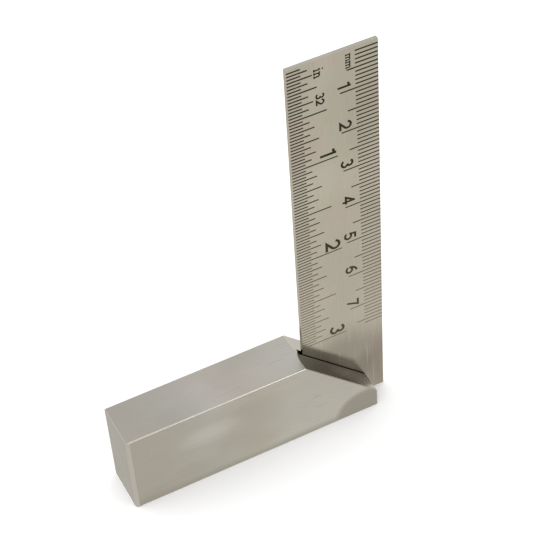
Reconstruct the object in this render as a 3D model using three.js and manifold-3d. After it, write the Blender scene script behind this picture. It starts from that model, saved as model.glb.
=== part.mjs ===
// Steel square ruler: a thin graduated blade let into the end of a thick steel stock.
// Millimetres. +Z is up along the blade, +X runs from the stock to the blade's outer edge,
// and Y is the thickness, with the graduated face towards -Y. The origin is the middle of
// the footprint, on the surface that the stock stands on.
import * as THREE from "three";
import { mergeVertices } from "three/addons/utils/BufferGeometryUtils.js";
import Module from "manifold-3d";

// Blade
const bladeLength = 98;
const bladeWidth = 20;
const bladeThickness = 1;

// Stock
const stockLength = 60;
const stockHeight = 21.4;
const stockThickness = 11.5;
const bladeProud = 4.5; // the blade's outer edge stands this far past the stock's end
const slopeRun = 16.6; // length of the sloping stretch of the top
const slopeFoot = 5.6; // height that the slope falls to at the stock's end
const slopeFallFront = 0.8; // the slope is crowned: highest at the blade, lower at the front face
const slopeFallBack = 0.45; // and at the back face
const noseRadius = 0.8; // rounds the foot of the slope into the end face
const noseSegments = 4;
const arrisChamfer = 0.3; // eases the front and back outlines

// Slot that takes the blade, open at the stock's end, top and bottom
const slotRelief = 1.1; // clearance past the blade's inner edge

// Dowel pins, set from the back and blind at the front
const pinRadius = 1.5;
const pinGap = 0.3; // round the pin
const pinInset = 3.5; // how far the pins reach past the middle, towards the front
const pinSides = 32;
const pinPlaces = [
  { name: "dowel_pin_inner", fromOuterEdge: 15.75, height: 9 },
  { name: "dowel_pin_outer", fromOuterEdge: 9.75, height: 4.5 },
];

const cutMargin = 2; // a cutter runs this far past the faces it opens

// Places along X, counted from the middle of the whole length
const outerEdge = (stockLength + bladeProud) / 2;
const innerEdge = outerEdge - bladeWidth;
const stockStart = -outerEdge;
const stockEnd = outerEdge - bladeProud;
const backFace = stockThickness / 2;

const steel = (color, roughness) =>
  new THREE.MeshStandardMaterial({ color, roughness, metalness: 1 });
const stockSteel = steel(0xa8a398, 0.42);
const bladeSteel = steel(0xaaa396, 0.36);
const pinSteel = steel(0x9a958c, 0.3);

const wasm = await Module();
wasm.setup();

function solidOf(geometry) {
  geometry.deleteAttribute("normal");
  geometry.deleteAttribute("uv");
  const merged = mergeVertices(geometry);
  return new wasm.Manifold(
    new wasm.Mesh({
      numProp: 3,
      vertProperties: merged.attributes.position.array,
      triVerts: new Uint32Array(merged.index.array),
    }),
  );
}

function meshOf(name, solid, material) {
  const { vertProperties, triVerts } = solid.getMesh();
  const geometry = new THREE.BufferGeometry();
  geometry.setAttribute("position", new THREE.BufferAttribute(vertProperties, 3));
  geometry.setIndex(new THREE.BufferAttribute(triVerts, 1));
  geometry.computeVertexNormals();
  const mesh = new THREE.Mesh(geometry, material);
  mesh.name = name;
  return mesh;
}

// A box between two corners.
function boxBetween(low, high) {
  const size = high.map((value, i) => value - low[i]);
  const middle = high.map((value, i) => (value + low[i]) / 2);
  return new THREE.BoxGeometry(...size).translate(...middle);
}

// A cylinder along Y, on the line of one pin, from one Y to another.
function pinCylinder(place, radius, from, to) {
  return new THREE.CylinderGeometry(radius, radius, to - from, pinSides)
    .translate(0, (from + to) / 2, 0)
    .translate(outerEdge - place.fromOuterEdge, 0, place.height);
}

// One ring of the stock's side outline, anticlockwise from the front, at a given Y. The
// slope lies `lowered` under its crest, and `inset` pulls the whole outline in.
function stockRing(y, lowered, inset) {
  const slopeAngle = Math.atan2(stockHeight - slopeFoot, slopeRun);
  const sin = Math.sin(slopeAngle);
  const cos = Math.cos(slopeAngle);
  const foot = slopeFoot - lowered;
  const top = stockHeight - inset;
  const noseX = stockEnd - noseRadius;
  const noseZ = foot - (noseRadius * (1 - sin)) / cos;
  const ring = [
    [stockStart + inset, inset],
    [stockEnd - inset, inset],
  ];
  for (let i = 0; i <= noseSegments; i++) {
    const turn = ((Math.PI / 2 - slopeAngle) * i) / noseSegments;
    const radius = noseRadius - inset;
    ring.push([noseX + radius * Math.cos(turn), noseZ + radius * Math.sin(turn)]);
  }
  ring.push([stockEnd - (inset + cos * (top - foot)) / sin, top]);
  ring.push([stockStart + inset, top]);
  return ring.map(([x, z]) => new THREE.Vector3(x, y, z));
}

// A closed skin over rings of equal length, listed from the front to the back.
function loft(rings) {
  const count = rings[0].length;
  const flat = rings[0].map((point) => new THREE.Vector2(point.x, point.z));
  const caps = THREE.ShapeUtils.triangulateShape(flat, []);
  const lastRing = (rings.length - 1) * count;
  const index = [];
  for (const [a, b, c] of caps) {
    index.push(a, b, c, lastRing + a, lastRing + c, lastRing + b);
  }
  for (let start = 0; start < lastRing; start += count) {
    for (let i = 0; i < count; i++) {
      const a = start + i;
      const b = start + ((i + 1) % count);
      index.push(a, b + count, b, a, a + count, b + count);
    }
  }
  return new THREE.BufferGeometry().setFromPoints(rings.flat()).setIndex(index);
}

// The bar, with the blade's slot and the pin holes cut into it.
function stockSolid() {
  const bar = loft([
    stockRing(-backFace, slopeFallFront, arrisChamfer),
    stockRing(arrisChamfer - backFace, slopeFallFront, 0),
    stockRing(0, 0, 0),
    stockRing(backFace - arrisChamfer, slopeFallBack, 0),
    stockRing(backFace, slopeFallBack, arrisChamfer),
  ]);
  const slot = boxBetween(
    [innerEdge - slotRelief, -bladeThickness / 2, -cutMargin],
    [stockEnd + cutMargin, bladeThickness / 2, stockHeight + cutMargin],
  );
  let solid = solidOf(bar).subtract(solidOf(slot));
  for (const place of pinPlaces) {
    const hole = pinCylinder(place, pinRadius + pinGap, -pinInset, backFace + cutMargin);
    solid = solid.subtract(solidOf(hole));
  }
  return solid;
}

// The blade, standing on the same surface as the stock, with its two pin holes.
function bladeSolid() {
  const plate = boxBetween(
    [innerEdge, -bladeThickness / 2, 0],
    [outerEdge, bladeThickness / 2, bladeLength],
  );
  let solid = solidOf(plate);
  for (const place of pinPlaces) {
    const hole = pinCylinder(place, pinRadius + pinGap, -cutMargin, cutMargin);
    solid = solid.subtract(solidOf(hole));
  }
  return solid;
}

const square = new THREE.Group();
square.name = "steel_square";
square.add(meshOf("stock", stockSolid(), stockSteel));
square.add(meshOf("blade", bladeSolid(), bladeSteel));
for (const place of pinPlaces) {
  const pin = new THREE.Mesh(pinCylinder(place, pinRadius, -pinInset, backFace), pinSteel);
  pin.name = place.name;
  square.add(pin);
}

export default square;
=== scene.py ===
import math

import bmesh
import bpy
from mathutils import Matrix, Vector


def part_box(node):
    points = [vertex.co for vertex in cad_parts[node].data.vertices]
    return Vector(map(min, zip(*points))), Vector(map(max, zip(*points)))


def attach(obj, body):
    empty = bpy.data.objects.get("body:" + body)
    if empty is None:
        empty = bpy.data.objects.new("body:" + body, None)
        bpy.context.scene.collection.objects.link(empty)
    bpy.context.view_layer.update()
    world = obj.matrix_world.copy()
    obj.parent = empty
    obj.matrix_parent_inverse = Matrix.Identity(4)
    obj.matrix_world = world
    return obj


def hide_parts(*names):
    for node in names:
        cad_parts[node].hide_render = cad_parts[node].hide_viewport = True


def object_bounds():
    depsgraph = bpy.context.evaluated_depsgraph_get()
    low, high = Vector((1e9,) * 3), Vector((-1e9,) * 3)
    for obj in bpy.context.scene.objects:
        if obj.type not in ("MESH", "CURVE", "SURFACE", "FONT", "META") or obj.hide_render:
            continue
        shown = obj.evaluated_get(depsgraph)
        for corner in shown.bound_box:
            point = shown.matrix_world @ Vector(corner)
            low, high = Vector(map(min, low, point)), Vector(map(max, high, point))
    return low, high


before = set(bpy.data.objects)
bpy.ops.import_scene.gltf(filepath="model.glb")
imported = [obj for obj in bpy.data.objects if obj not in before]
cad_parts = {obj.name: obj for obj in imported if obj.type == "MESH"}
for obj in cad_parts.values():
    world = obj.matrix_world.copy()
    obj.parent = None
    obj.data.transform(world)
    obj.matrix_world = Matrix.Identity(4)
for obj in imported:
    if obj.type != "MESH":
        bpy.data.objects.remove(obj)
cadBox = [list(corner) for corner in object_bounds()]

mm = 0.001  # sizes below are in millimetres, the scene is in metres
hair = 0.005 * mm  # places closer than this count as the same
cutMargin = 2 * mm  # a cutter runs this far past the faces it opens
smoothBelow = 30  # degrees; a face turning less than this from the next is shaded smooth
flatWeight = 80  # how strongly broad faces keep their own shading

stockLow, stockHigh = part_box("stock")
bladeLow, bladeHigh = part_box("blade")
print("frame loaded:", sorted(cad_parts))


# Small helpers for working by hand.
def leaveEditMode():
    if bpy.context.object and bpy.context.object.mode != "OBJECT":
        bpy.ops.object.mode_set(mode="OBJECT")


def deselectAll():
    leaveEditMode()
    bpy.ops.object.select_all(action="DESELECT")


def selectOnly(*pieces):
    deselectAll()
    for piece in pieces:
        piece.select_set(True)
    bpy.context.view_layer.objects.active = pieces[0]


def settle(piece):  # its place goes into its mesh
    selectOnly(piece)
    bpy.ops.object.transform_apply(location=True, rotation=True, scale=True)


def keepPrimitive(name):
    piece = bpy.context.object
    piece.name = name
    piece.data.name = name
    settle(piece)
    return piece


def addBox(name, low, high):
    deselectAll()
    bpy.ops.mesh.primitive_cube_add(size=1, location=(low + high) / 2, scale=high - low)
    return keepPrimitive(name)


def addRod(name, radius, start, end, sides):  # along Y, from the front to the back
    deselectAll()
    bpy.ops.mesh.primitive_cylinder_add(
        vertices=sides, radius=radius, depth=(end - start).length,
        location=(start + end) / 2, rotation=(math.radians(-90), 0, 0),
    )
    return keepPrimitive(name)


def startEditing(piece, mode="VERT"):
    selectOnly(piece)
    bpy.ops.object.mode_set(mode="EDIT")
    bpy.ops.mesh.select_mode(type=mode)
    bpy.ops.mesh.select_all(action="DESELECT")


def pick(piece, kind, test):  # selects the verts, edges or faces that pass the test
    cage = bmesh.from_edit_mesh(piece.data)
    for item in getattr(cage, kind):
        item.select_set(bool(test(item)))
    cage.select_flush_mode()
    bmesh.update_edit_mesh(piece.data)


def pickAll():
    bpy.ops.mesh.select_all(action="SELECT")


def applyModifier(piece, kind, **settings):
    selectOnly(piece)
    modifier = piece.modifiers.new(kind.title(), kind)
    for name, value in settings.items():
        setattr(modifier, name, value)
    bpy.ops.object.modifier_apply(modifier=modifier.name)


def cutAway(piece, cutter):
    applyModifier(
        piece, "BOOLEAN", operation="DIFFERENCE", object=cutter,
        solver="EXACT", use_self=True, material_mode="TRANSFER",
    )
    bpy.data.objects.remove(cutter, do_unlink=True)


def smoothShade(piece):
    selectOnly(piece)
    bpy.ops.object.shade_smooth_by_angle(angle=math.radians(smoothBelow))
    applyModifier(piece, "WEIGHTED_NORMAL", keep_sharp=True, weight=flatWeight)


def near(a, b):
    return abs(a - b) < hair


# Camera, floor and light.
view = {
    "lens": 114.47,
    "sensor": 36.0,
    "nearClip": 0.01,
    "place": (-0.09855, -0.23538, 0.30035),
    "turn": (45.396, 3.065, -27.231),  # degrees
}

cameraData = bpy.data.cameras.new("camera")
cameraData.lens = view["lens"]
cameraData.sensor_width = view["sensor"]
cameraData.clip_start = view["nearClip"]
camera = bpy.data.objects.new("camera", cameraData)
camera.location = view["place"]
camera.rotation_euler = [math.radians(a) for a in view["turn"]]
bpy.context.scene.collection.objects.link(camera)
bpy.context.scene.camera = camera
print("camera placed")

studio = {
    "floorTone": (0.93, 0.93, 0.93),
    "floorSize": 6.0,
    "floorRough": 0.9,
    "floorGloss": 0.1,
    "plainStrength": 1.32,  # even light on the floor
    "tableTone": (1.0, 0.982, 0.945),  # what the steel mirrors below the horizon
    "tableStrength": 1.12,
    "skyTone": (0.995, 1.0, 1.025),  # and above it
    "skyStrength": 1.12,
    "horizonBlur": 0.08,  # how far the two run into each other
    "darkSide": (0.76, -0.61, -0.24),  # the unlit side of the room
    "darkInner": 15,  # degrees from the middle of the dark side
    "darkOuter": 31,
    "darkShare": 0.44,
    "brightSide": (0.74, 0.66, 0.12),  # towards the window
    "brightInner": 12,
    "brightOuter": 40,
    "brightShare": 0.25,
}
softboxAim = (0, 0, 0.03)
softboxes = {
    "arrisSoftbox": {"place": (0.36, -0.66, 0.60), "size": 0.42, "power": 1.8, "tone": (1.0, 0.99, 0.97)},
    "shadowSoftbox": {"place": (-0.55, 0.45, 0.75), "size": 0.9, "power": 1.5, "tone": (1, 1, 1)},
}

bpy.context.scene.view_settings.view_transform = "Standard"


def studioWorld():
    world = bpy.data.worlds.new("studio")
    world.use_nodes = True
    nodes = world.node_tree.nodes
    link = world.node_tree.links.new
    plain = nodes["Background"]
    plain.inputs["Color"].default_value = (1, 1, 1, 1)
    plain.inputs["Strength"].default_value = studio["plainStrength"]
    direction = nodes.new("ShaderNodeTexCoord").outputs["Generated"]
    split = nodes.new("ShaderNodeSeparateXYZ")
    link(direction, split.inputs[0])
    horizon = nodes.new("ShaderNodeMapRange")
    horizon.inputs["From Min"].default_value = -studio["horizonBlur"]
    horizon.inputs["From Max"].default_value = studio["horizonBlur"]
    link(split.outputs["Z"], horizon.inputs["Value"])
    tone = nodes.new("ShaderNodeMix")
    tone.data_type = "RGBA"
    link(horizon.outputs["Result"], tone.inputs["Factor"])
    tone.inputs["A"].default_value = [c * studio["tableStrength"] for c in studio["tableTone"]] + [1]
    tone.inputs["B"].default_value = [c * studio["skyStrength"] for c in studio["skyTone"]] + [1]

    def side(aim, inner, outer, strength):  # 1 all round, going over to a strength on one side
        toward = nodes.new("ShaderNodeVectorMath")
        toward.operation = "DOT_PRODUCT"
        link(direction, toward.inputs[0])
        toward.inputs[1].default_value = Vector(aim).normalized()
        fade = nodes.new("ShaderNodeMapRange")
        fade.interpolation_type = "SMOOTHSTEP"
        fade.inputs["From Min"].default_value = math.cos(math.radians(outer))
        fade.inputs["From Max"].default_value = math.cos(math.radians(inner))
        fade.inputs["To Min"].default_value = 1.0
        fade.inputs["To Max"].default_value = strength
        link(toward.outputs["Value"], fade.inputs["Value"])
        return fade.outputs["Result"]

    dark = side(studio["darkSide"], studio["darkInner"], studio["darkOuter"], 1 - studio["darkShare"])
    bright = side(
        studio["brightSide"], studio["brightInner"], studio["brightOuter"], 1 + studio["brightShare"],
    )
    both = nodes.new("ShaderNodeMath")
    both.operation = "MULTIPLY"
    link(dark, both.inputs[0])
    link(bright, both.inputs[1])
    mirrored = nodes.new("ShaderNodeBackground")
    link(tone.outputs["Result"], mirrored.inputs["Color"])
    link(both.outputs[0], mirrored.inputs["Strength"])
    blend = nodes.new("ShaderNodeMixShader")
    link(nodes.new("ShaderNodeLightPath").outputs["Is Glossy Ray"], blend.inputs[0])
    link(plain.outputs[0], blend.inputs[1])
    link(mirrored.outputs[0], blend.inputs[2])
    link(blend.outputs[0], nodes["World Output"].inputs["Surface"])
    return world


def makeFloor():
    deselectAll()
    bpy.ops.mesh.primitive_plane_add(size=studio["floorSize"], location=(0, 0, cadBox[0][2]))
    floor = bpy.context.object
    floor.name = "floor"
    floor.visible_glossy = False  # the steel mirrors the world's table tone instead
    paper = bpy.data.materials.new("floorPaper")
    paper.use_nodes = True
    shader = paper.node_tree.nodes["Principled BSDF"]
    shader.inputs["Base Color"].default_value = (*studio["floorTone"], 1)
    shader.inputs["Roughness"].default_value = studio["floorRough"]
    shader.inputs["Specular IOR Level"].default_value = studio["floorGloss"]
    floor.data.materials.append(paper)
    return floor


def addSoftbox(name):
    settings = softboxes[name]
    data = bpy.data.lights.new(name, "AREA")
    data.shape = "RECTANGLE"
    data.size = settings["size"]
    data.size_y = settings["size"]
    data.energy = settings["power"]
    data.color = settings["tone"]
    lamp = bpy.data.objects.new(name, data)
    lamp.location = settings["place"]
    aim = Vector(softboxAim) - Vector(settings["place"])
    lamp.rotation_euler = aim.to_track_quat("-Z", "Y").to_euler()
    bpy.context.scene.collection.objects.link(lamp)
    return lamp


bpy.context.scene.world = studioWorld()
floor = makeFloor()
arrisSoftbox = addSoftbox("arrisSoftbox")
arrisSoftbox.visible_diffuse = False  # only lights the polished edges
shadowSoftbox = addSoftbox("shadowSoftbox")
shadowSoftbox.visible_glossy = False  # only lays the soft shadow to the right
print("floor and lights placed")


# Materials.
class Look:  # a node material, built up node by node
    def __init__(self, name):
        self.material = bpy.data.materials.new(name)
        self.material.use_nodes = True
        self.nodes = self.material.node_tree.nodes
        self.links = self.material.node_tree.links
        self.shader = self.nodes["Principled BSDF"]
        self.place = self.nodes.new("ShaderNodeTexCoord").outputs["Object"]

    def set(self, socket, value):
        self.shader.inputs[socket].default_value = value

    def wire(self, source, target):
        self.links.new(source, target)

    def noise(self, scale, detail, rough, stretch=(1, 1, 1), shift=(0, 0, 0)):
        mapping = self.nodes.new("ShaderNodeMapping")
        mapping.inputs["Scale"].default_value = stretch
        mapping.inputs["Location"].default_value = shift
        self.wire(self.place, mapping.inputs["Vector"])
        node = self.nodes.new("ShaderNodeTexNoise")
        node.inputs["Scale"].default_value = scale
        node.inputs["Detail"].default_value = detail
        node.inputs["Roughness"].default_value = rough
        self.wire(mapping.outputs["Vector"], node.inputs["Vector"])
        return node.outputs["Fac"]

    def spot(self, centre, radii):  # 1 at the centre, fading to 0 at the radii, in millimetres
        mapping = self.nodes.new("ShaderNodeMapping")
        mapping.inputs["Scale"].default_value = [1 / (r * mm) for r in radii]
        mapping.inputs["Location"].default_value = [-c / r for c, r in zip(centre, radii)]
        self.wire(self.place, mapping.inputs["Vector"])
        node = self.nodes.new("ShaderNodeTexGradient")
        node.gradient_type = "SPHERICAL"
        self.wire(mapping.outputs["Vector"], node.inputs["Vector"])
        return node.outputs["Fac"]

    def along(self, axis):  # one coordinate, in metres
        node = self.nodes.new("ShaderNodeSeparateXYZ")
        self.wire(self.place, node.inputs[0])
        return node.outputs[axis]

    def spread(self, source, low, high, toLow=0.0, toHigh=1.0, soft=True):
        node = self.nodes.new("ShaderNodeMapRange")
        node.interpolation_type = "SMOOTHSTEP" if soft else "LINEAR"
        node.inputs["From Min"].default_value = low
        node.inputs["From Max"].default_value = high
        node.inputs["To Min"].default_value = toLow
        node.inputs["To Max"].default_value = toHigh
        self.wire(source, node.inputs["Value"])
        return node.outputs["Result"]

    def add(self, a, b):
        node = self.nodes.new("ShaderNodeMath")
        node.operation = "ADD"
        self.wire(a, node.inputs[0])
        self.wire(b, node.inputs[1])
        return node.outputs[0]

    def mix(self, share, a, b):  # a and b are tones or other nodes' colours
        node = self.nodes.new("ShaderNodeMix")
        node.data_type = "RGBA"
        self.wire(share, node.inputs["Factor"])
        for colour, socket in ((a, node.inputs["A"]), (b, node.inputs["B"])):
            if isinstance(colour, tuple):
                socket.default_value = (*colour, 1)
            else:
                self.wire(colour, socket)
        return node.outputs["Result"]

    def bump(self, height, strength, distance):
        node = self.nodes.new("ShaderNodeBump")
        node.inputs["Strength"].default_value = strength
        node.inputs["Distance"].default_value = distance
        self.wire(height, node.inputs["Height"])
        return node.outputs["Normal"]

    def finish(self, colour, rough, normal):
        self.wire(colour, self.shader.inputs["Base Color"])
        self.wire(rough, self.shader.inputs["Roughness"])
        self.wire(normal, self.shader.inputs["Normal"])
        return self.material


steelPattern = {  # shared by all the ground steel; a range is where a pattern starts and is full
    "clouds": {"detail": 1.5, "rough": 0.4},
    "tint": {"scale": 70, "detail": 1.5, "rough": 0.4, "shift": (3.1, 0.7, 5.3)},
    "streaks": {"scale": 40, "detail": 2, "rough": 0.5},
    "scratches": {"scale": 55, "detail": 1, "rough": 0.5, "shift": (1.7, 4.1, 2.2)},
    "scratchStretch": (0.5, 2.2),  # a start, and a share of the streaks' stretch
    "tintRange": (0.38, 0.62),
    "lightRange": (0.50, 0.72),
    "lightShare": 0.8,
    "darkRange": (0.50, 0.30),
    "darkShare": 0.35,
    "streakRange": (0.52, 0.75),
    "scratchRange": (0.66, 0.74),
    "roughRange": (0.3, 0.7),
    "streakRough": 0.02,
    "grooveStrength": 0.15,
    "grooveDepth": 0.003,
}


def groundSteel(name, finish, grain):  # the grain is long along the axis with the lowest number
    look = Look(name)
    look.set("Metallic", 1.0)
    look.set("Specular Tint", finish["grazingTint"])
    pattern = steelPattern
    scratchStart, scratchShare = pattern["scratchStretch"]
    scratchGrain = [scratchStart + scratchShare * g for g in grain]
    clouds = look.noise(finish["cloudScale"], **pattern["clouds"], stretch=finish["cloudStretch"])
    tint = look.noise(**pattern["tint"])
    streaks = look.noise(**pattern["streaks"], stretch=grain)
    scratches = look.noise(**pattern["scratches"], stretch=scratchGrain)

    colour = look.mix(look.spread(tint, *pattern["tintRange"]), finish["warmTone"], finish["coolTone"])
    light = look.spread(clouds, *pattern["lightRange"], 0, pattern["lightShare"])
    colour = look.mix(light, colour, finish["lightTone"])
    dark = look.spread(clouds, *pattern["darkRange"], 0, pattern["darkShare"])
    colour = look.mix(dark, colour, finish["darkTone"])
    # painted light and painted shade: tones that fade in along an axis
    for axis, start, end, share, tone in finish["paintedLightFades"]:
        fade = look.spread(look.along(axis), start * mm, end * mm, 0, share)
        colour = look.mix(fade, colour, tone)
    # tone patches in the steel, and spots of painted shade and painted light
    for centre, radii, edge, share, tone in finish["patchesAndPaintedLight"]:
        patch = look.spread(look.spot(centre, radii), 0.0, edge, 0, share)
        colour = look.mix(patch, colour, tone)
    bright = look.spread(streaks, *pattern["streakRange"], 0, finish["streakShare"])
    colour = look.mix(bright, colour, finish["lightTone"])
    scored = look.spread(scratches, *pattern["scratchRange"], 0, finish["scratchShare"])
    colour = look.mix(scored, colour, finish["darkTone"])

    roughLow, roughHigh = finish["rough"]
    streakRough = pattern["streakRough"]
    rough = look.add(
        look.spread(clouds, *pattern["roughRange"], roughLow, roughHigh, soft=False),
        look.spread(streaks, *pattern["roughRange"], -streakRough, streakRough, soft=False),
    )
    normal = look.bump(streaks, pattern["grooveStrength"], pattern["grooveDepth"] * mm)
    return look.finish(colour, rough, normal)


grazingTint = (0.74, 0.74, 0.74, 1)  # ground steel is duller than polished at a low angle
stockGrain = (1.6, 30, 30)
bladeGrain = (50, 50, 3)
pinGrain = (30, 1, 30)

stockFinish = {
    "lightTone": (0.425, 0.410, 0.368),
    "warmTone": (0.390, 0.360, 0.315),
    "coolTone": (0.372, 0.361, 0.319),
    "darkTone": (0.285, 0.266, 0.228),
    "cloudScale": 85,
    "cloudStretch": (0.7, 1, 1),
    "grazingTint": grazingTint,
    "streakShare": 0.16,
    "scratchShare": 0.32,
    "rough": (0.22, 0.28),
    # centre, radii, edge softness, share, tone; in millimetres. The first three are tone patches in the
    # steel, the last three painted shade and painted light
    "patchesAndPaintedLight": [
        ((-13, -6, 14.0), (10, 3, 4.2), 0.9, 0.8, (0.450, 0.438, 0.395)),
        ((-25.5, -6, 10), (5, 3, 5), 0.9, 0.45, (0.345, 0.315, 0.265)),
        ((-1.5, -6, 4.5), (8, 3, 5), 0.9, 0.45, (0.350, 0.318, 0.268)),
        # painted shade: the foot of the front face darker at the near end, standing in for a reflected
        # contact shadow
        ((-28, -6, 1), (7, 3, 4.5), 0.9, 0.5, (0.300, 0.275, 0.234)),
        # painted reflection: a dark shape mirrored in the front face by the nose
        ((24.7, -6, 0.6), (8.4, 6, 7.0), 0.26, 0.92, (0.272, 0.255, 0.218)),
        # painted light: lightens the lower slope beside the blade
        ((24.5, -3.0, 8), (11.5, 3.0, 11), 0.8, 0.9, (0.790, 0.738, 0.664)),
    ],
    # axis, from, to, share, tone; all painted light and painted shade
    "paintedLightFades": [
        # painted light: lighter towards the right end
        ("X", -6, 8, 0.5, (0.445, 0.430, 0.385)),
        # painted shade: darker towards the near end
        ("X", -12, -30, 0.75, (0.332, 0.314, 0.273)),
        # painted shade: a darker band along the foot, standing in for the reflected contact shadow
        ("Z", 2.6, 0.3, 0.75, (0.280, 0.262, 0.227)),
        # painted shade: the near end face darker
        ("X", -31.95, -32.2, 0.8, (0.312, 0.280, 0.222)),
    ],
}
arrisFinish = {
    **stockFinish,
    "warmTone": (0.425, 0.407, 0.360),
    "coolTone": (0.420, 0.410, 0.366),
    "rough": (0.26, 0.32),
    "patchesAndPaintedLight": [],
    "paintedLightFades": [],
}
pinFinish = {**stockFinish, "rough": (0.22, 0.32), "patchesAndPaintedLight": [], "paintedLightFades": []}
bladeFinish = {
    "lightTone": (0.450, 0.418, 0.352),
    "warmTone": (0.402, 0.360, 0.306),
    "coolTone": (0.378, 0.366, 0.298),
    "darkTone": (0.300, 0.272, 0.222),
    "cloudScale": 65,
    "cloudStretch": (1, 1, 0.6),
    "grazingTint": grazingTint,
    "streakShare": 0.32,
    "scratchShare": 0.45,
    "rough": (0.16, 0.22),
    "patchesAndPaintedLight": [
        # painted shadow: the lower blade darker where it mirrors the shaded floor by the stock
        ((23, 0, 10), (12.5, 6, 16.5), 0.6, 0.86, (0.250, 0.229, 0.190)),
        # painted shade: the lower outer corner of the blade darker
        ((32, 0, 7), (7, 4, 18), 0.8, 0.8, (0.225, 0.187, 0.158)),
        # painted reflection of shade beside the nose of the slope
        ((27.2, 0, 8.8), (3.2, 4, 5.5), 0.9, 0.5, (0.160, 0.143, 0.115)),
    ],
    "paintedLightFades": [
        # painted light: the blade lighter below its middle
        ("Z", 70, 42, 0.4, (0.430, 0.400, 0.338)),
    ],
}

stockSteel = groundSteel("stockSteel", stockFinish, stockGrain)
stockArris = groundSteel("stockArris", arrisFinish, stockGrain)
bladeSteel = groundSteel("bladeSteel", bladeFinish, bladeGrain)
bladeArris = groundSteel("bladeArris", {**bladeFinish, "rough": (0.25, 0.32)}, bladeGrain)
pinSteel = groundSteel("pinSteel", pinFinish, pinGrain)

ink = {
    "numeralTones": ((0.022, 0.015, 0.006), (0.066, 0.050, 0.030)),  # fresh and worn
    "markTones": ((0.028, 0.019, 0.009), (0.170, 0.135, 0.095)),
    "wear": (62, 22),  # the height where the wear starts, and where it is full
    "patches": {"scale": 900, "detail": 3, "rough": 0.6},
    "patchRange": (0.5, 0.8),
    "patchShare": 0.35,
    "patchTone": (0.11, 0.085, 0.06),
    "rough": (0.5, 0.75),
    "roughRange": (0.3, 0.7),
    "gloss": 0.1,
    "gritStrength": 0.3,
    "gritDepth": 0.01,
}


def inkLook(name, tones):
    freshTone, wornTone = tones
    wearStart, wearEnd = ink["wear"]
    look = Look(name)
    look.set("Specular IOR Level", ink["gloss"])
    patches = look.noise(**ink["patches"])
    wear = look.spread(look.along("Z"), wearStart * mm, wearEnd * mm)
    colour = look.mix(wear, freshTone, wornTone)
    patchy = look.spread(patches, *ink["patchRange"], 0, ink["patchShare"])
    colour = look.mix(patchy, colour, ink["patchTone"])
    rough = look.spread(patches, *ink["roughRange"], *ink["rough"])
    normal = look.bump(patches, ink["gritStrength"], ink["gritDepth"] * mm)
    return look.finish(colour, rough, normal)


numeralInk = inkLook("numeralInk", ink["numeralTones"])
markInk = inkLook("markInk", ink["markTones"])
print("materials made")


# The stock is a bar with a crowned slope falling to the end, a rounded nose and a slot.
stock = {
    "slopeRun": 16.6,
    "slopeFoot": 5.6,
    "fallFront": 0.75,  # the slope is crowned, highest at the blade
    "fallBack": 0.42,
    "crownPower": 4,  # falls away quickly beside the blade, then levels out
    "strips": (0.9, 1.4, 2.0, 2.8, 3.9),  # cuts that carry the crown, on each side of the middle
    "arris": 0.85,  # the widest edge, between the front and the near end
    "longArris": 0.38,  # the others as shares of it
    "slopeArris": 0.165,
    "noseArris": 0.24,  # added to slopeArris there, a radius of about 0.9 mm
    "crossArris": 0.28,
    "arrisSegments": 4,
    "sharpFrom": 35,  # degrees; only sharper edges are eased
    "slopeMargin": 1.5,  # the slope's edges start within this of its crest
    "footHeight": 2,  # the underside's edges lie below this
    "slotGapFront": 0.31,  # a dark line along the blade
    "slotGapBack": 0.12,
    "slotRelief": 1.1,  # past the blade's inner edge
}

stockEnd = stockHigh.x
stockTop = stockHigh.z
halfThick = stockHigh.y
rise = stockTop - stock["slopeFoot"] * mm
run = stock["slopeRun"] * mm
crest = stockEnd - run


def crownDrop(y):
    fall = (stock["fallFront"] if y < 0 else stock["fallBack"]) * mm
    return fall * (1 - (1 - abs(y) / halfThick) ** stock["crownPower"])


def shapeSlope(bar):  # cuts the bar into strips, and lets each one down at its end
    strips = [y * mm for y in stock["strips"]]
    sections = [-y for y in reversed(strips)] + [0.0] + strips
    startEditing(bar)
    for y in sections:
        pickAll()
        bpy.ops.mesh.bisect(plane_co=(0, y, 0), plane_no=(0, 1, 0))
    pickAll()
    bpy.ops.mesh.bisect(plane_co=(crest, 0, 0), plane_no=(1, 0, 0))

    def pickTop(x, y):
        pick(bar, "verts", lambda v: near(v.co.x, x) and near(v.co.y, y) and near(v.co.z, stockTop))

    for y in [-halfThick, *sections, halfThick]:
        drop = crownDrop(y)
        pickTop(crest, y)
        bpy.ops.transform.translate(value=(-drop * run / rise, 0, 0))
        pickTop(stockEnd, y)
        bpy.ops.transform.translate(value=(0, 0, -rise - drop))
    leaveEditMode()


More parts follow.
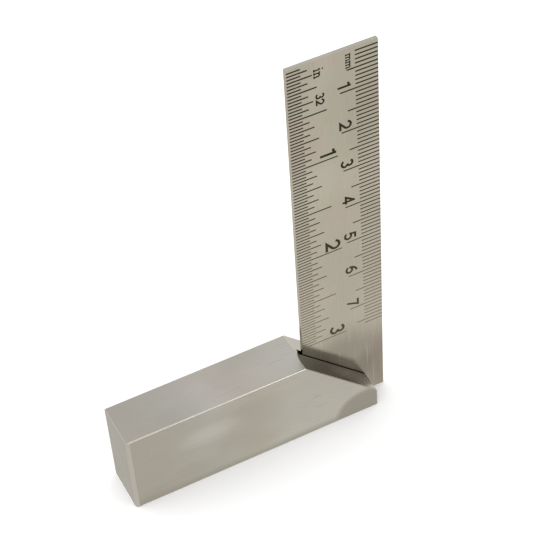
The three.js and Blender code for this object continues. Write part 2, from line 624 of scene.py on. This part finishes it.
def weighEdges(bar):  # an edge's weight is its share of the widest arris
    slopeStart = crest - stock["slopeMargin"] * mm
    footHeight = stock["footHeight"] * mm

    def sharp(e):
        return len(e.link_faces) == 2 and e.calc_face_angle() > math.radians(stock["sharpFrom"])

    def onOutline(e):
        return all(near(abs(v.co.y), halfThick) for v in e.verts)

    def nearCorner(e):
        return all(near(v.co.x, stockLow.x) and near(v.co.y, -halfThick) for v in e.verts)

    def onSlope(e):  # and down the end
        return all(v.co.x > slopeStart for v in e.verts) and sum(v.co.z for v in e.verts) > footHeight

    def onNose(e):  # where the slope turns down into the end
        return all(near(v.co.x, stockEnd) and v.co.z > footHeight for v in e.verts) and not onOutline(e)

    def weigh(share, test):  # adds to what an edge has
        pick(bar, "edges", lambda e: sharp(e) and test(e))
        bpy.ops.transform.edge_bevelweight(value=share)

    startEditing(bar, "EDGE")
    weigh(1.0, nearCorner)
    weigh(stock["longArris"], lambda e: onOutline(e) and not onSlope(e) and not nearCorner(e))
    weigh(stock["slopeArris"], onSlope)
    weigh(stock["noseArris"], onNose)
    weigh(stock["crossArris"], lambda e: not onOutline(e) and not onSlope(e))
    leaveEditMode()


def makeStock():
    bar = addBox("stock_bar", stockLow, stockHigh)
    shapeSlope(bar)
    weighEdges(bar)
    bar.data.materials.append(stockSteel)
    bar.data.materials.append(stockArris)
    applyModifier(
        bar, "BEVEL", width=stock["arris"] * mm, segments=stock["arrisSegments"],
        limit_method="WEIGHT", material=1, use_clamp_overlap=False,
    )
    return bar


def cutSlot(bar):  # open at the end, top and bottom
    innerEnd = bladeLow.x - stock["slotRelief"] * mm
    front = bladeLow.y - stock["slotGapFront"] * mm
    back = bladeHigh.y + stock["slotGapBack"] * mm
    slotCutter = addBox(
        "slotCutter",
        Vector((innerEnd, front, stockLow.z - cutMargin)),
        Vector((stockEnd + cutMargin, back, stockTop + cutMargin)),
    )
    slotCutter.data.materials.append(stockSteel)
    cutAway(bar, slotCutter)


pins = {
    "sides": 48,
    "holeGap": 0.02,
    "chamfer": 0.15,
    "dome": 0.04,
    "domeInset": 0.45,  # where the dome's flat middle starts, a share of the radius in from the chamfer
    "domeReach": 0.8,  # the dome's rim lies past this share of the radius
}
pinNodes = ["dowel_pin_inner", "dowel_pin_outer"]


def pinLine(node):  # the middle of the pin, from its blind end to the back, and its radius
    low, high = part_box(node)
    x = (low.x + high.x) / 2
    z = (low.z + high.z) / 2
    return Vector((x, low.y, z)), Vector((x, high.y, z)), (high.x - low.x) / 2


def drillPinHole(piece, node, steel):
    start, end, radius = pinLine(node)
    gap = pins["holeGap"] * mm
    blind = start - Vector((0, gap, 0))
    drill = addRod("drill", radius + gap, blind, end + Vector((0, cutMargin, 0)), pins["sides"])
    drill.data.materials.append(steel)
    cutAway(piece, drill)


bar = makeStock()
cutSlot(bar)
for node in pinNodes:
    drillPinHole(bar, node, stockSteel)
smoothShade(bar)
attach(bar, "root")
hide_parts("stock")
print("stock made:", len(bar.data.polygons), "faces")


# The dowel pins are flush with the back face.
def makePin(node):
    start, end, radius = pinLine(node)
    pin = addRod(node.replace("dowel_pin", "pin"), radius, start, end, pins["sides"])

    def isBackEnd(f):  # the round face, not the ring about it
        return f.normal.y > 0.9 and near(f.calc_center_median().y, end.y) and len(f.verts) == pins["sides"]

    def pickRing(beyond):  # the points of the back end that lie past this radius
        def test(v):
            return math.hypot(v.co.x - end.x, v.co.z - end.z) > beyond and v.co.y > end.y - 2 * hair
        pick(pin, "verts", test)

    startEditing(pin, "FACE")
    pick(pin, "faces", lambda f: abs(f.normal.y) > 0.9)
    bpy.ops.mesh.inset(thickness=pins["chamfer"] * mm, use_individual=True)
    pick(pin, "faces", isBackEnd)
    bpy.ops.mesh.inset(thickness=pins["domeInset"] * radius)
    startEditing(pin)
    pickRing(radius - 2 * hair)
    bpy.ops.transform.translate(value=(0, -pins["chamfer"] * mm, 0))
    pickRing(pins["domeReach"] * radius)
    bpy.ops.transform.translate(value=(0, -pins["dome"] * mm, 0))
    leaveEditMode()
    pin.data.materials.append(pinSteel)
    smoothShade(pin)
    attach(pin, "root")
    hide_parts(node)


for node in pinNodes:
    makePin(node)
print("pins made")


# The blade is a ground plate with engraved, inked graduations.
blade = {
    "arris": 0.08,
    "arrisSegments": 2,
    "markDepth": 0.07,
    "markWidth": 0.3516,  # at the face, near the top
    "markNarrowing": 0.45,  # share of its width that a mark at the very foot would lose
    "markFloor": 0.6,  # a mark tool's floor as a share of its mouth
    "markAbove": 0.3,  # a mark tool starts this far in front of the face
    "outerOverrun": 0.2,  # the millimetre marks run out through the outer edge
    "innerMargin": 0.1,  # the inch marks stop short of the inner one
    "millimetres": 76,
    "thirtySeconds": 96,
    "inch": 25.4,
    "millimetreLengths": {10: 8.6, 5: 7.0, 1: 5.15},  # every tenth, every fifth, every one
    "inchLengths": {32: 10.4, 16: 8.4, 8: 6.45, 4: 5.55, 2: 4.55, 1: 3.1},
    "millimetreLean": 0.0125,  # the engraving creeps towards the outer edge on its way down
    "inchLean": 0.0065,
    "numeralLean": 0.0085,
    "leanStart": 15.0,  # the creep starts this far below the top
}

bladeFront = bladeLow.y
bladeTop = bladeHigh.z
outer = bladeHigh.x
inner = bladeLow.x


def makePlate():
    plate = addBox("blade_plate", bladeLow, bladeHigh)
    plate.data.materials.append(bladeSteel)
    plate.data.materials.append(bladeArris)
    applyModifier(
        plate, "BEVEL", width=blade["arris"] * mm, segments=blade["arrisSegments"],
        limit_method="ANGLE", material=1,
    )
    return plate


def makeMarkTool():  # one mark: 1 long towards +X, 1 wide at its mouth, with a narrower floor
    tool = addBox("markTool", Vector((0, 0, -0.5)), Vector((1, 1, 0.5)))
    startEditing(tool, "FACE")
    pick(tool, "faces", lambda f: f.normal.y > 0.9)
    bpy.ops.transform.resize(value=(1, 1, blade["markFloor"]))
    leaveEditMode()
    tool.data.materials.append(markInk)
    return tool


def creep(below, rate):  # below in metres
    return rate * max(0.0, below - blade["leanStart"] * mm)


def stampMark(tool, fromX, toX, below):
    above = blade["markAbove"] * mm
    depth = blade["markDepth"] * mm
    width = blade["markWidth"] * mm * (1 - blade["markNarrowing"] * below / (bladeTop - bladeLow.z))
    mouth = width / (1 - (1 - blade["markFloor"]) * above / (above + depth))
    mark = tool.copy()
    mark.data = tool.data.copy()
    bpy.context.scene.collection.objects.link(mark)
    mark.location = (fromX, bladeFront - above, bladeTop - below)
    mark.scale = (toX - fromX, above + depth, mouth)
    return mark


def longestStep(k, lengths):
    return next(length for step, length in lengths.items() if k % step == 0)


def stampScales():
    tool = makeMarkTool()
    marks = []
    for k in range(1, blade["millimetres"] + 1):
        below = k * mm
        length = longestStep(k, blade["millimetreLengths"]) * mm - creep(below, blade["millimetreLean"])
        marks.append(stampMark(tool, outer - length, outer + blade["outerOverrun"] * mm, below))
    for k in range(1, blade["thirtySeconds"] + 1):
        below = k * blade["inch"] / 32 * mm
        length = longestStep(k, blade["inchLengths"]) * mm + creep(below, blade["inchLean"])
        marks.append(stampMark(tool, inner + blade["innerMargin"] * mm, inner + length, below))
    bpy.data.objects.remove(tool, do_unlink=True)
    return marks


def arc(cx, cy, rx, ry, fromAngle, toAngle, steps=12):  # centre, radii, from and to in degrees
    turns = [math.radians(fromAngle + (toAngle - fromAngle) * i / steps) for i in range(steps + 1)]
    return [(cx + rx * math.cos(t), cy + ry * math.sin(t)) for t in turns]


# Each character's width and its pen strokes, on a cap height of 1.
glyphs = {
    "1": (0.46, [
        [(0.38, 0.0), (0.38, 1.0)],
        [(0.42, 0.93), (0.30, 0.85), (0.09, 0.80)],
    ]),
    "2": (0.76, [
        [*arc(0.37, 0.64, 0.28, 0.27, 172, -38), (0.15, 0.10), (0.75, 0.10)],
    ]),
    "3": (0.70, [
        arc(0.34, 0.71, 0.23, 0.21, 158, -78),
        arc(0.34, 0.31, 0.27, 0.23, 82, -158),
    ]),
    "4": (0.76, [
        [(0.54, 0.0), (0.54, 1.0)],
        [(0.54, 0.92), (0.12, 0.28), (0.76, 0.28)],
    ]),
    "5": (0.70, [
        [(0.64, 0.91), (0.20, 0.91), (0.15, 0.53), *arc(0.34, 0.33, 0.27, 0.25, 118, -152)],
    ]),
    "6": (0.72, [
        arc(0.62, 0.34, 0.52, 0.58, 96, 182),
        arc(0.36, 0.31, 0.26, 0.24, 200, 515, 18),
    ]),
    "7": (0.70, [
        [(0.05, 0.91), (0.61, 0.91), (0.46, 0.55), (0.27, 0.0)],
    ]),
    "m": (1.66, [
        [(0.26, 0.0), (0.26, 1.0)],
        [(0.84, 0.0), (0.84, 0.85)],
        [(1.42, 0.0), (1.42, 0.85)],
        [(0.26, 0.70), (0.48, 0.88), (0.70, 0.88), (0.84, 0.70)],
        [(0.84, 0.70), (1.06, 0.88), (1.28, 0.88), (1.42, 0.70)],
        [(0.06, 0.09), (0.46, 0.09)],
        [(0.66, 0.09), (1.02, 0.09)],
        [(1.24, 0.09), (1.62, 0.09)],
        [(0.04, 0.91), (0.26, 0.91)],
    ]),
    "n": (1.15, [
        [(0.28, 0.0), (0.28, 1.0)],
        [(0.86, 0.0), (0.86, 0.85)],
        [(0.28, 0.72), (0.5, 0.9), (0.72, 0.9), (0.86, 0.72)],
        [(0.06, 0.07), (0.5, 0.07)],
        [(0.66, 0.07), (1.08, 0.07)],
        [(0.04, 0.93), (0.28, 0.93)],
    ]),
    "i": (0.55, [
        [(0.28, 0.0), (0.28, 1.0)],
        [(0.28, 1.3), (0.28, 1.55)],
        [(0.06, 0.07), (0.5, 0.07)],
        [(0.04, 0.93), (0.28, 0.93)],
    ]),
}

# They read down the blade, standing on lines this far in from the outer edge.
centimetreNumerals = {"height": 2.9, "pen": 0.5, "line": 9.1}
centimetreEnds = [8.95, 19.4, 29.3, 39.2, 49.3, 59.2, 69.3]  # below the top
inchNumerals = {"height": 3.65, "pen": 0.6, "line": 13.6}
inchEnds = [24.4, 50.45, 75.75]
units = {
    "32": {"start": 8.1, "height": 1.9, "pen": 0.38, "line": 13.9, "gap": 0.1},
    "mm": {"start": 1.1, "height": 1.08, "pen": 0.28, "line": 7.2},
    "in": {"start": 2.0, "height": 1.35, "pen": 0.33, "line": 14.1, "gap": 0.05},
}
nib = {
    "mitreLimit": 0.35,  # a sharp corner reaches no further out than half the pen over this
    "extraDepth": 0.002,  # the numerals' floors lie this much under the marks'
    "depthStep": 0.004,  # and each stroke's under the last one's, so that no two floors coincide
    "mergeWithin": 0.0005,
}


def penOutline(points, width):  # the closed outline of a pen stroke, with mitred corners
    sides = [[], []]
    path = [Vector(p) for p in points]
    for i, point in enumerate(path):
        ahead = (path[min(i + 1, len(path) - 1)] - path[min(i, len(path) - 2)]).normalized()
        behind = (path[max(i, 1)] - path[max(i - 1, 0)]).normalized()
        across = Vector((-ahead.y - behind.y, ahead.x + behind.x)).normalized()
        reach = width / 2 / max(nib["mitreLimit"], across.dot(Vector((-ahead.y, ahead.x))))
        sides[0].append(point + across * reach)
        sides[1].append(point - across * reach)
    return sides[0] + sides[1][::-1]


def stampStroke(outline, lineX, below, deep):
    curve = bpy.data.curves.new("stroke", "CURVE")
    curve.dimensions = "2D"
    curve.fill_mode = "BOTH"
    curve.extrude = deep
    spline = curve.splines.new("POLY")
    spline.points.add(len(outline) - 1)
    for point, corner in zip(spline.points, outline):
        point.co = (corner.x, corner.y, 0, 1)
    spline.use_cyclic_u = True
    stroke = bpy.data.objects.new("stroke", curve)
    bpy.context.scene.collection.objects.link(stroke)
    selectOnly(stroke)
    bpy.ops.object.convert(target="MESH")
    stroke = bpy.context.object
    stroke.matrix_world = Matrix((
        (0, 1, 0, lineX),
        (0, 0, -1, bladeFront),
        (-1, 0, 0, bladeTop - below),
        (0, 0, 0, 1),
    ))
    settle(stroke)
    startEditing(stroke)
    pickAll()
    bpy.ops.mesh.remove_doubles(threshold=nib["mergeWithin"] * mm)
    bpy.ops.mesh.normals_make_consistent(inside=False)
    leaveEditMode()
    stroke.data.materials.clear()
    stroke.data.materials.append(numeralInk)
    return stroke


def stampWord(word, start, height, pen, line, gap=0.0):
    below = start * mm
    strokes = []
    for letter in word:
        width, paths = glyphs[letter]
        lineX = outer - line * mm + creep(below, blade["numeralLean"])
        for i, points in enumerate(paths):
            outline = penOutline([(x * height * mm, y * height * mm) for x, y in points], pen * mm)
            deep = (blade["markDepth"] + nib["extraDepth"] + nib["depthStep"] * i) * mm
            strokes.append(stampStroke(outline, lineX, below, deep))
        below += (width * height + gap) * mm
    return strokes


def stampNumerals(style, ends):  # 1, 2, 3 and on, each ending at its place below the top
    strokes = []
    for n, end in enumerate(ends, 1):
        width = glyphs[str(n)][0] * style["height"]
        strokes += stampWord(str(n), end - width, **style)
    return strokes


def engrave(plate):
    marks = stampScales()
    marks += stampNumerals(centimetreNumerals, centimetreEnds)
    marks += stampNumerals(inchNumerals, inchEnds)
    for word, style in units.items():
        marks += stampWord(word, **style)
    selectOnly(*marks)
    bpy.ops.object.join()
    markCutter = bpy.context.object
    settle(markCutter)
    cutAway(plate, markCutter)


plate = makePlate()
engrave(plate)
for node in pinNodes:
    drillPinHole(plate, node, bladeSteel)
smoothShade(plate)
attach(plate, "root")
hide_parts("blade")
print("blade made:", len(plate.data.polygons), "faces")
